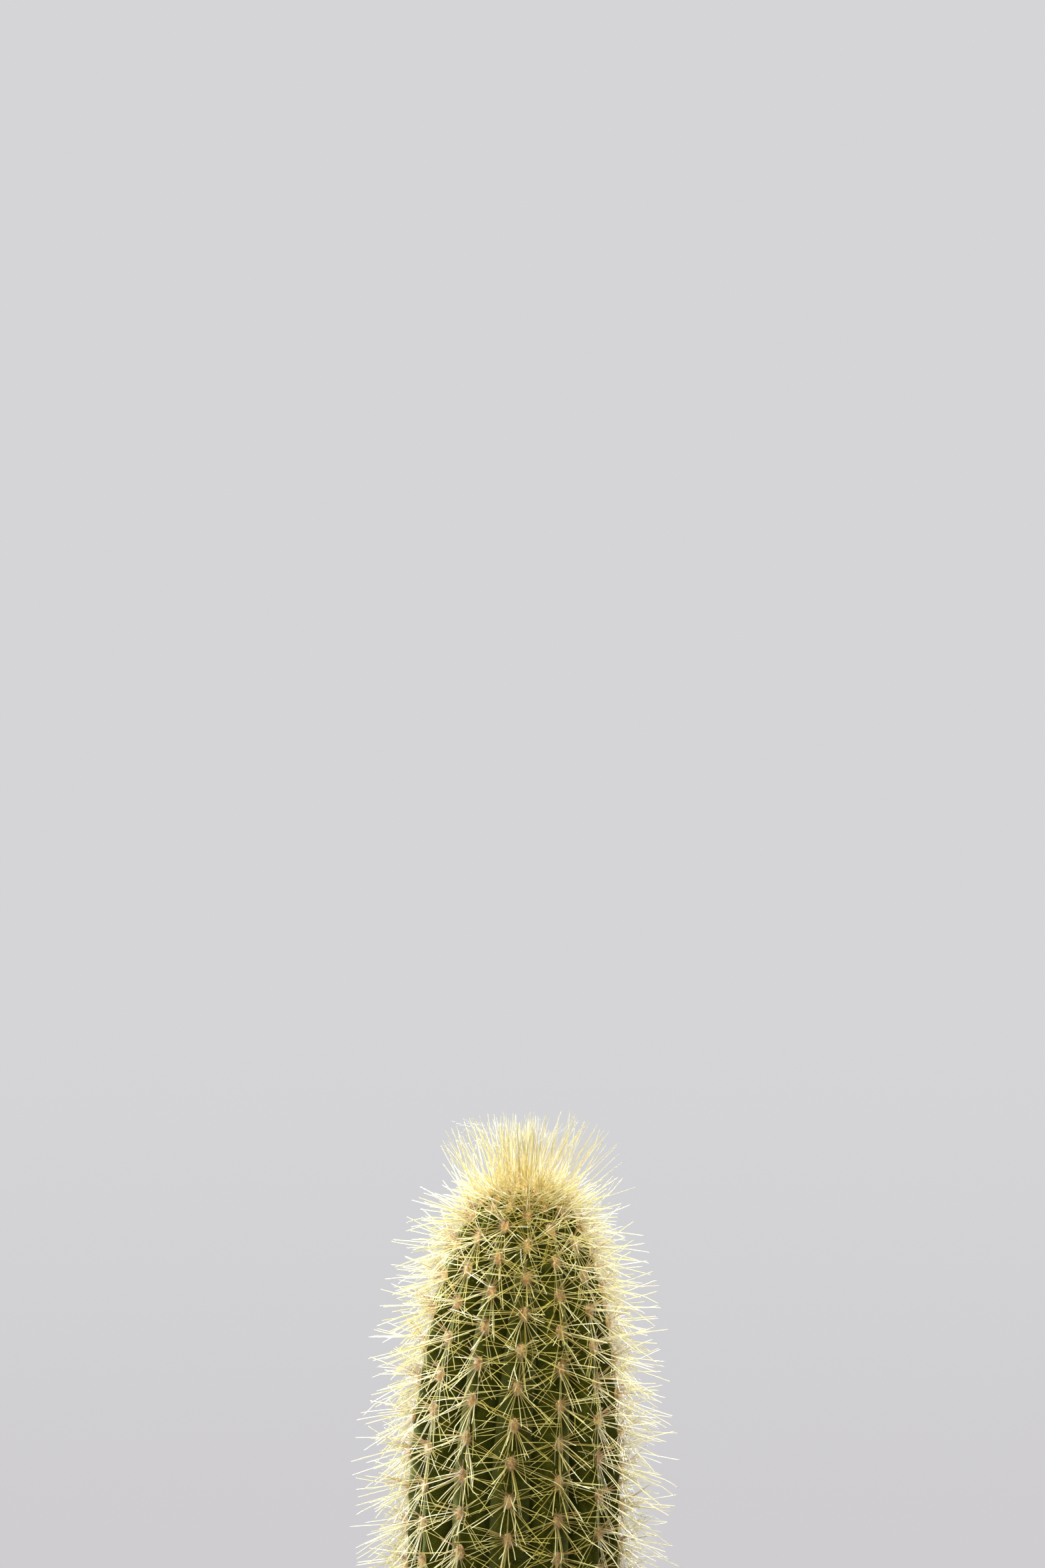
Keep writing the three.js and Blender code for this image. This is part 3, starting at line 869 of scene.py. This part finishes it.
def crown_tuft(frames, material, random):
    """Young golden spines that stand in a brush over the crown."""
    points, _, _, out, arc = frames
    rows = np.repeat(np.arange(len(points)), TUFT_SPINES_EACH)
    rows = rows[random.random(len(rows)) > smooth_step(arc[rows], *TUFT_FADE_ARCS)]
    count = len(rows)
    outer = smooth_step(arc[rows], *TUFT_OUTER_ARCS)
    bunch = random.normal(0, TUFT_BUNCHING, (len(points), 3))[rows]
    straggle = random.normal(0, TUFT_STRAGGLING, (count, 3))
    upright = np.array([0.0, 0.0, 1.0])
    raised = lerp(out[rows], upright, lerp(*TUFT_UPRIGHTNESS, outer)[:, None])
    direction = unit(raised + bunch + straggle)
    root = points[rows] + random.normal(0, TUFT_ROOT_SCATTER, (count, 3)) - direction * TUFT_SUNK
    level = random.uniform(*TUFT_LEVEL, len(points))[rows] + random.uniform(*TUFT_UNEVEN, count)
    reach = (APEX_Z + level - root[:, 2]) / direction[:, 2]
    length = np.clip(reach, TUFT_SHORTEST, lerp(*TUFT_LONGEST, outer))
    radius = random.uniform(*TUFT_RADIUS, count)
    tint = np.clip(lerp(*TUFT_TINT, outer) + random.normal(0, TUFT_TINT_SCATTER, count), 0, 1)
    pattern = needle_pattern(sides=5, rings=6, fullness=0.25, bunching=1.7)
    draws = (root, direction, length, radius, tint)
    spine_piece("crown_spines", pattern, draws, TUFT_BEND, material, random)
    bpy.data.objects.remove(pattern)


# ---- Wool and hairs -------------------------------------------------------------------------

FELT_HAIRS = 240
FELT_LOWEST = 0.05
FELT_LENGTH = (0.45 * MM, 1.15 * MM)
FELT_RADIUS = 0.035 * MM
FELT_SUNK = 0.2 * MM
FELT_TANGLE = 0.55
FELT_BEND = (0.2, 0.8)
CROWN_FELT_HAIRS = 90
CROWN_FELT_SIZE = 1.1


def felt(name, frames, size, material, random, hairs):
    """Short curled hairs all over the cushions."""
    points, across, up, out, _ = frames
    count = len(points)
    z = random.uniform(FELT_LOWEST, 1, (count, hairs))
    angle = random.uniform(0, TURN, (count, hairs))
    level = np.sqrt(1 - z**2)
    ball = np.stack([level * np.cos(angle), level * np.sin(angle), z], axis=-1)
    local = ball * CUSHION_HALF * size
    axes = np.stack([across, up, out], axis=1)
    roots = points[:, None] + local @ axes
    directions = (ball / (CUSHION_HALF / MM)) @ axes
    directions = unit(directions + random.normal(0, FELT_TANGLE, local.shape))
    roots, directions = roots.reshape(-1, 3), directions.reshape(-1, 3)
    number = len(roots)
    lengths = random.uniform(*FELT_LENGTH, number) * size
    radius = np.full(number, FELT_RADIUS)
    pattern = needle_pattern(sides=3, rings=2, fullness=0.5)
    bends = bent(random, directions, *FELT_BEND)
    piece = grown(name, pattern, roots - directions * FELT_SUNK, directions, lengths, radius, bends)
    bpy.data.objects.remove(pattern)
    return finish_piece(piece, material, "cactus")


COBWEB_HAIRS = 44
COBWEB_REACH = 13 * MM
COBWEB_SHIFT = 3 * MM
COBWEB_LEVEL = (9 * MM, 15.5 * MM)
COBWEB_LENGTH = (3 * MM, 7.5 * MM)
COBWEB_RADIUS = (0.018 * MM, 0.03 * MM)
COBWEB_RISE = (-0.4, 0.25)
COBWEB_STRAY = 0.9
COBWEB_BEND = (0.2, 0.7)
COBWEB_WAVES = (1.5, 4)
COBWEB_SWING = (0.2 * MM, 0.7 * MM)


def cobweb(material, random):
    """Long fine wavy hairs that lie loosely over the tips of the tuft."""
    count = COBWEB_HAIRS
    angle = np.arange(count) * GOLDEN_ANGLE
    distance = COBWEB_REACH * np.sqrt(random.random(count))
    height = APEX_Z + random.uniform(*COBWEB_LEVEL, count)
    x = distance * np.cos(angle) - COBWEB_SHIFT
    roots = np.stack([x, distance * np.sin(angle), height], axis=-1)
    heading = angle + TURN / 4 + random.normal(0, COBWEB_STRAY, count)
    rise = random.uniform(*COBWEB_RISE, count)
    directions = unit(np.stack([np.cos(heading), np.sin(heading), rise], axis=-1))
    lengths = random.uniform(*COBWEB_LENGTH, count)
    pattern = needle_pattern(sides=3, rings=16, fullness=0.15)
    share = points_of(pattern)[:, 2]
    radius = random.uniform(*COBWEB_RADIUS, count)
    bends = bent(random, directions, *COBWEB_BEND)
    piece = grown("cobweb_hairs", pattern, roots, directions, lengths, radius, bends)
    waves = random.uniform(*COBWEB_WAVES, (count, 1)) * TURN * share[None]
    wave_side = sideways(random, directions)
    swing = random.uniform(*COBWEB_SWING, (count, 1)) * np.sin(waves)
    moved = points_of(piece).reshape(count, -1, 3) + wave_side[:, None] * swing[..., None]
    set_points(piece, moved)
    bpy.data.objects.remove(pattern)
    return finish_piece(piece, material, "cactus")


# ---- Pot ------------------------------------------------------------------------------------

RIM_RADIUS = POT_HIGH.x
RIM_LOWER_RADIUS = RIM_RADIUS - 1.4 * MM
RIM_BAND = 25 * MM
RIM_INNER = RIM_RADIUS - 5 * MM
LIP_ROUND = 2.2 * MM
BODY_TOP_RADIUS = 50.4 * MM
FOOT_RADIUS = 37 * MM
FOOT_INNER = 31 * MM
FOOT_RECESS = 1.8 * MM
FLOOR_TOP = 6 * MM
INNER_FLOOR_RADIUS = 32 * MM
DRAIN_RADIUS = 8.5 * MM
DRAIN_ROUND = 0.9 * MM
POT_STEPS = 160
WALL_POINTS = 24
FLOOR_POINTS = 6

THROWING_RINGS = 2.3 * MM
RING_DRIFT = 9 * MM
RING_DEPTH = 0.05 * MM
WALL_UNEVENNESS = 0.16 * MM
WALL_UNEVEN_SCALE = 28
PLAIN_FOOT = (2 * MM, 6 * MM)
LOW_BLOOM_EDGE = (4 * MM, 45 * MM)
RIM_BLOOM_DEPTH = 10 * MM
BLOOM_EVERYWHERE = 0.12
BLOOM_LOW = 0.7
BLOOM_AT_RIM = 0.5


def turned(name, profile, steps):
    """A closed outline of (radius, height) pairs, spun round the pot's axis."""
    count = len(profile)
    mesh = bpy.data.meshes.new(name)
    outline = [(radius, 0, height) for radius, height in profile]
    mesh.from_pydata(outline, [(i, (i + 1) % count) for i in range(count)], [])
    piece = new_piece(name, mesh)
    edit_whole(piece)
    bpy.ops.mesh.spin(steps=steps, angle=TURN, center=(0, 0, 0), axis=(0, 0, 1))
    bpy.ops.object.mode_set(mode="OBJECT")
    closed_up(piece, 1e-5)
    return piece


def rounded(centre, radius, start, end, points=6):
    """Points of an arc in the outline, between two angles in degrees."""
    angles = np.radians(np.linspace(start, end, points))
    return [(centre[0] + radius * math.cos(a), centre[1] + radius * math.sin(a)) for a in angles]


def straight(first, last, points):
    """Points on a straight stretch of the outline, without its ends."""
    shares = np.linspace(0, 1, points + 2)[1:-1]
    return [(lerp(first[0], last[0], s), lerp(first[1], last[1], s)) for s in shares]


def pot_profile():
    """The pot's outline: under the floor, the foot ring, the wall, the rim, and back down inside."""
    top = POT_HIGH.z
    band = top - RIM_BAND
    drain = DRAIN_RADIUS + DRAIN_ROUND
    recess_edge = (FOOT_INNER - 1 * MM, FOOT_RECESS)
    foot_low_in = (FOOT_INNER + 0.5 * MM, 0)
    foot_low_out = (FOOT_RADIUS - 0.8 * MM, 0)
    foot_out = (FOOT_RADIUS + 0.2 * MM, 1.2 * MM)
    wall_top = (BODY_TOP_RADIUS, band)
    band_low = (RIM_LOWER_RADIUS, band + 1.2 * MM)
    band_high = (RIM_RADIUS, top - LIP_ROUND)
    inner_low = (INNER_FLOOR_RADIUS, FLOOR_TOP)
    return [
        *rounded((drain, FOOT_RECESS + DRAIN_ROUND), DRAIN_ROUND, 180, 270),
        *straight((drain, FOOT_RECESS), recess_edge, FLOOR_POINTS),
        recess_edge,
        (FOOT_INNER - 0.3 * MM, 0.5 * MM),
        foot_low_in,
        *straight(foot_low_in, foot_low_out, 3),
        foot_low_out,
        (FOOT_RADIUS, 0.5 * MM),
        foot_out,
        *straight(foot_out, wall_top, WALL_POINTS * 2),
        wall_top,
        (RIM_LOWER_RADIUS - 1.2 * MM, band),
        (RIM_LOWER_RADIUS - 0.3 * MM, band + 0.3 * MM),
        band_low,
        *straight(band_low, band_high, WALL_POINTS),
        *rounded((RIM_RADIUS - LIP_ROUND, top - LIP_ROUND), LIP_ROUND, 0, 90),
        *rounded((RIM_INNER + LIP_ROUND, top - LIP_ROUND), LIP_ROUND, 90, 180),
        *straight((RIM_INNER, top - LIP_ROUND), inner_low, WALL_POINTS * 2),
        inner_low,
        *straight(inner_low, (drain, FLOOR_TOP), FLOOR_POINTS),
        *rounded((drain, FLOOR_TOP - DRAIN_ROUND), DRAIN_ROUND, 90, 180),
    ]


def pot():
    """The clay pot, with soft edges, faint throwing rings and a slightly uneven wall."""
    piece = turned("clay_pot", pot_profile(), POT_STEPS)
    points = points_of(piece)
    height = points[:, 2]
    outwards = unit(points * (1, 1, 0))
    rings = np.sin(height / THROWING_RINGS + 2 * np.sin(height / RING_DRIFT))
    uneven = soft_noise(points, WALL_UNEVEN_SCALE)
    past_foot = np.hypot(points[:, 0], points[:, 1]) > FOOT_INNER
    worked = smooth_step(height, *PLAIN_FOOT) * past_foot
    dents = RING_DEPTH * (1 + rings) + WALL_UNEVENNESS * (1 + uneven)
    points -= outwards * (dents * worked)[:, None]
    set_points(piece, points)
    low_bloom = 1 - smooth_step(height, *LOW_BLOOM_EDGE)
    rim_bloom = smooth_step(height, POT_HIGH.z - RIM_BLOOM_DEPTH, POT_HIGH.z)
    mark(piece, "bloom", BLOOM_EVERYWHERE + BLOOM_LOW * low_bloom + BLOOM_AT_RIM * rim_bloom)
    return finish_piece(piece, clay_material(), "pot")


# ---- Soil and grit --------------------------------------------------------------------------

FIT_GAP = 0.35 * MM
SOIL_STEPS = 128
SOIL_POINTS = 16
SOIL_TOP_LAYER = 0.1 * MM
CRUMB_SCALE = 420
CRUMB_DEPTH = 0.8 * MM
CRUMB_FALL = 0.8
CRUMB_FINER = 2.0
CRUMB_LAYERS = 4

# A higher power makes more of the stones small. The tones are spread by two weights.
STONE_COUNT = 640
STONE_RADIUS = (1.25 * MM, 2.5 * MM)
STONE_POWER = 1.5
STONE_TONE_WEIGHTS = (1.1, 1.2)
STONE_SHAPES = 4
STONE_FACETS = 9
FACET_DEPTH = (0.52, 0.8)
FACET_FLATNESS = 0.96
STONE_LUMP_SCALE = 2.3
STONE_LUMP_DEPTH = 0.07
STONE_STRETCH = (0.68, 1.0)
STONE_REST = 0.85


def inner_wall(z):
    """The radius of the pot's inside at a height."""
    return lerp(INNER_FLOOR_RADIUS, RIM_INNER, (z - FLOOR_TOP) / (POT_HIGH.z - FLOOR_TOP))


def soil():
    """The soil, crumbly on top, with the plain hole that the foot of the stem stands in."""
    low, high = SOIL_LOW.z, SOIL_HIGH.z
    wall_low = (inner_wall(low) - FIT_GAP, low)
    wall_high = (inner_wall(high) - FIT_GAP, high)
    hole_high = (float(crest_radius(APEX_Z - high)) + FIT_GAP, high)
    hole_low = (ROOT_RADIUS + FIT_GAP, PLANT_LOW.z - FIT_GAP)
    half = [
        (0, low),
        *straight((0, low), wall_low, FLOOR_POINTS),
        wall_low,
        *straight(wall_low, wall_high, SOIL_POINTS),
        wall_high,
        *straight(wall_high, hole_high, SOIL_POINTS),
        hole_high,
        *straight(hole_high, hole_low, SOIL_POINTS // 2),
        hole_low,
        (0, hole_low[1]),
    ]
    piece = turned("soil_body", half, SOIL_STEPS)
    points = points_of(piece)
    on_top = np.abs(points[:, 2] - high) < SOIL_TOP_LAYER
    layers = (CRUMB_FALL, CRUMB_FINER, CRUMB_LAYERS)
    crumbs = np.array([noise.fractal(Vector(point) * CRUMB_SCALE, *layers) for point in points])
    points[:, 2] += np.where(on_top, np.clip(crumbs, -1, 0) * CRUMB_DEPTH, 0)
    set_points(piece, points)
    return finish_piece(piece, soil_material(), "soil")


def stone_pattern(number):
    """One stone: a ball flattened on several sides, so that it has worn corners."""
    start_fresh()
    bpy.ops.mesh.primitive_ico_sphere_add(subdivisions=3, radius=1)
    pattern = bpy.context.object
    random = np.random.default_rng(SEED + 100 + number)
    points = points_of(pattern)
    for _ in range(STONE_FACETS):
        facing = unit(random.normal(size=3))
        depth = random.uniform(*FACET_DEPTH)
        past = np.maximum(points @ facing - depth, 0)
        points -= past[:, None] * facing * FACET_FLATNESS
    lumps = STONE_LUMP_DEPTH * soft_noise(points, STONE_LUMP_SCALE, shift=(number * 7, 0, 0))
    set_points(pattern, points * (1 + lumps[:, None]))
    return pattern


def turned_about(points, random, count):
    """The points in count random attitudes, by unit quaternions: (copy, point, xyz)."""
    spins = unit(random.normal(size=(count, 4)))
    real, axis = spins[:, None, 0:1], spins[:, None, 1:]
    aside = np.cross(axis, points)
    return points + 2 * (real * aside + np.cross(axis, aside))


def grit(random):
    """Loose stones that cover the soil round the stem, spread evenly from the stem to the wall."""
    bed = GRIT_LOW.z
    inner = float(crest_radius(STEM_HEIGHT)) + FIT_GAP
    outer = inner_wall(bed) - FIT_GAP
    material = grit_material()
    share = (np.arange(STONE_COUNT) + 0.5) / STONE_COUNT
    radius = lerp(*STONE_RADIUS, random.random(STONE_COUNT) ** STONE_POWER)
    angle = np.arange(STONE_COUNT) * GOLDEN_ANGLE
    distance = np.sqrt(lerp((inner + radius) ** 2, (outer - radius) ** 2, share))
    rest = radius * STONE_REST
    height = lerp(bed + rest, GRIT_HIGH.z - rest, random.uniform(0, 1, STONE_COUNT))
    centre = np.stack([distance * np.cos(angle), distance * np.sin(angle), height], axis=-1)
    groups = np.array_split(random.permutation(STONE_COUNT), STONE_SHAPES)
    for number, group in enumerate(groups):
        pattern = stone_pattern(number)
        stretch = random.uniform(*STONE_STRETCH, (len(group), 1, 3))
        shapes = turned_about(points_of(pattern), random, len(group)) * stretch
        places = centre[group][:, None] + shapes * radius[group][:, None, None]
        piece = copies_of(pattern, f"grit_stones_{number + 1}", places)
        tint = random.beta(*STONE_TONE_WEIGHTS, len(group))
        mark(piece, "tint", np.repeat(tint, len(pattern.data.vertices)))
        bpy.data.objects.remove(pattern)
        finish_piece(piece, material, "grit")


# ---- Stage, lights and camera ---------------------------------------------------------------

# The backdrop darkens downwards between two slopes of the line of sight: a painted shade.
BACKDROP = (0.665, 0.665, 0.679)
BACKDROP_SHADED_LOW = (0.624, 0.610, 0.630)
BACKDROP_SLOPES = (-0.21, -0.06)
ROOM_LIGHT = (1.0, 0.96, 0.8, 1)
ROOM_STRENGTH = 0.17
FLOOR_TONE = (0.33, 0.34, 0.45, 1)
FLOOR_RADIUS = 1.2
FLOOR_FADE = (0.22, 0.6)

# The lamps behind the stem are narrow and aimed at its upper part. Powers are in watts.
BACK_LAMPS = {
    "back_left": dict(place=(-0.88, 0.62, 0.28), power=310, colour=(0.83, 0.88, 1.0)),
    "back_right": dict(place=(0.56, 0.92, 0.28), power=235, colour=(0.91, 0.93, 1.0)),
}
BACK_TARGET = (0, 0, 0.205)
BACK_SPREAD = math.radians(13)
BACK_SOFTNESS = 0.5
BACK_SIZE = 0.125
SOFT_LAMPS = {
    "front": dict(place=(-0.45, -1.1, 0.7), power=4.6, colour=(1.0, 0.94, 0.62)),
    "side": dict(place=(-1.05, -0.1, 0.35), power=3.0, colour=(1.0, 0.98, 0.8)),
    "top": dict(place=(0.0, -0.22, 1.1), power=21, colour=(1.0, 0.96, 0.70)),
}
SOFT_TARGET = (0, 0, 0.19)
SOFT_SIZE = 0.3

# The photograph's frame is 1568 by 2352 pixels. In it one millimetre at the stem's axis is 5.75
# pixels, and the stem's green apex is 596 pixels below the middle.
IMAGE_HEIGHT = 2352
SCALE_AT_STEM = 0.1739 * MM
APEX_BELOW_MIDDLE = 596
LENS = 85
SENSOR = 36
CAMERA_X = 2.5 * MM


def floor():
    """A pale floor that fades into the backdrop away from the pot."""
    start_fresh()
    bpy.ops.mesh.primitive_circle_add(vertices=96, radius=FLOOR_RADIUS, fill_type="TRIFAN")
    piece = bpy.context.object
    piece.name = "floor"
    material, tree, shader, output = new_material("pale_floor")
    feed(tree, shader, Base_Color=FLOOR_TONE, Roughness=0.9)
    distance = add_node(tree, "VectorMath", {"operation": "LENGTH"}, Vector=object_place(tree))
    fade = between(tree, distance.outputs["Value"], FLOOR_FADE, (0, 1), "SMOOTHSTEP")
    clear = add_node(tree, "BsdfTransparent")
    blended(tree, fade, shader.outputs["BSDF"], clear.outputs["BSDF"], output.inputs["Surface"])
    piece.data.materials.append(material)


def backdrop():
    """A pale backdrop, slightly darker below by painted shade, and soft light from all round."""
    world = bpy.data.worlds.new("backdrop")
    bpy.context.scene.world = world
    world.use_nodes = True
    tree = world.node_tree
    heading = add_node(tree, "SeparateXYZ", Vector=add_node(tree, "TexCoord").outputs["Generated"])
    slope = between(tree, heading.outputs["Z"], BACKDROP_SLOPES, (0, 1), "SMOOTHSTEP")
    shown = tree.nodes["Background"]
    # Painted shade darkens the backdrop below.
    feed(tree, shown, Color=mixed(tree, slope, BACKDROP_SHADED_LOW, BACKDROP), Strength=1.0)
    room = add_node(tree, "Background", Color=ROOM_LIGHT, Strength=ROOM_STRENGTH)
    seen = add_node(tree, "LightPath").outputs["Is Camera Ray"]
    surface = tree.nodes["World Output"].inputs["Surface"]
    blended(tree, seen, room.outputs["Background"], shown.outputs["Background"], surface)


def aimed_light(name, kind, target, place, power, colour):
    """A light that points at a target. Its settings come back."""
    data = bpy.data.lights.new(name, kind)
    data.energy = power
    data.color = colour
    light = new_piece(name, data)
    light.location = place
    light.rotation_euler = (Vector(target) - Vector(place)).to_track_quat("-Z", "Y").to_euler()
    light.visible_camera = False
    return data


def lights():
    """Two narrow lamps from behind light the spines' edges. Three soft lamps light the rest."""
    for name, values in BACK_LAMPS.items():
        lamp = aimed_light(name, "SPOT", BACK_TARGET, **values)
        lamp.shadow_soft_size = BACK_SIZE
        lamp.spot_size = BACK_SPREAD
        lamp.spot_blend = BACK_SOFTNESS
    for name, values in SOFT_LAMPS.items():
        lamp = aimed_light(name, "AREA", SOFT_TARGET, **values)
        lamp.shape = "DISK"
        lamp.size = SOFT_SIZE


def camera():
    """The photograph's view: level, with the stem's upper part in the lower half of the frame."""
    focal_pixels = LENS / SENSOR * IMAGE_HEIGHT
    data = bpy.data.cameras.new("camera")
    data.lens = LENS
    data.sensor_width = SENSOR
    data.clip_start = 0.05
    data.clip_end = 50
    piece = new_piece("camera", data)
    height = APEX_Z + APEX_BELOW_MIDDLE * SCALE_AT_STEM
    piece.location = (CAMERA_X, -focal_pixels * SCALE_AT_STEM, height)
    piece.rotation_euler = (math.radians(90), 0, 0)
    bpy.context.scene.camera = piece


# ---- Making ---------------------------------------------------------------------------------

SPINE_PIECES = 3
FELT_PIECES = 3


def plant(random):
    """The cactus: its stem, the wool and spines of its areoles, and its crown."""
    stem()
    grown_areoles = areole_frames(areole_arcs)
    young_areoles = areole_frames(crown_arcs)
    wool = wool_material()
    felt_hair = hair_material("felt_hair", *FELT_COLOURS)
    spine = spine_material()
    cushions("areole_cushions", grown_areoles, 1.0, wool, random)
    cushions("crown_cushions", young_areoles, YOUNG_CUSHION_SIZE, wool, random)
    for number, rows in enumerate(np.array_split(np.arange(len(grown_areoles[0])), FELT_PIECES)):
        part = [column[rows] for column in grown_areoles]
        felt(f"areole_felt_{number + 1}", part, 1.0, felt_hair, random, FELT_HAIRS)
    areole_spines("spines", grown_areoles, SPINE_KINDS, 1.0, SPINE_PIECES, spine, random)
    outer_crown = areoles_past(young_areoles, BARE_CROWN)
    areole_spines("young_spines", outer_crown, YOUNG_KINDS, YOUNG_LENGTH, 1, spine, random)
    everywhere = [np.concatenate(parts) for parts in zip(young_areoles, grown_areoles)]
    crown_spine = crown_spine_material()
    crown_tuft(everywhere, crown_spine, random)
    cobweb(hair_material("cobweb_hair", *COBWEB_COLOURS), random)
    young_hair = hair_material("young_felt_hair", *YOUNG_FELT_COLOURS)
    felt("crown_felt", young_areoles, CROWN_FELT_SIZE, young_hair, random, CROWN_FELT_HAIRS)
    inner_crown = areoles_past(young_areoles, CROSSING_FROM)
    areole_spines("crossing_spines", inner_crown, CROSSING_KINDS, 1.0, 1, crown_spine, random)


camera()
backdrop()
floor()
lights()
pot()
soil()
grit(np.random.default_rng(SEED + 1))
plant(np.random.default_rng(SEED))
bpy.context.scene.view_settings.view_transform = "Standard"
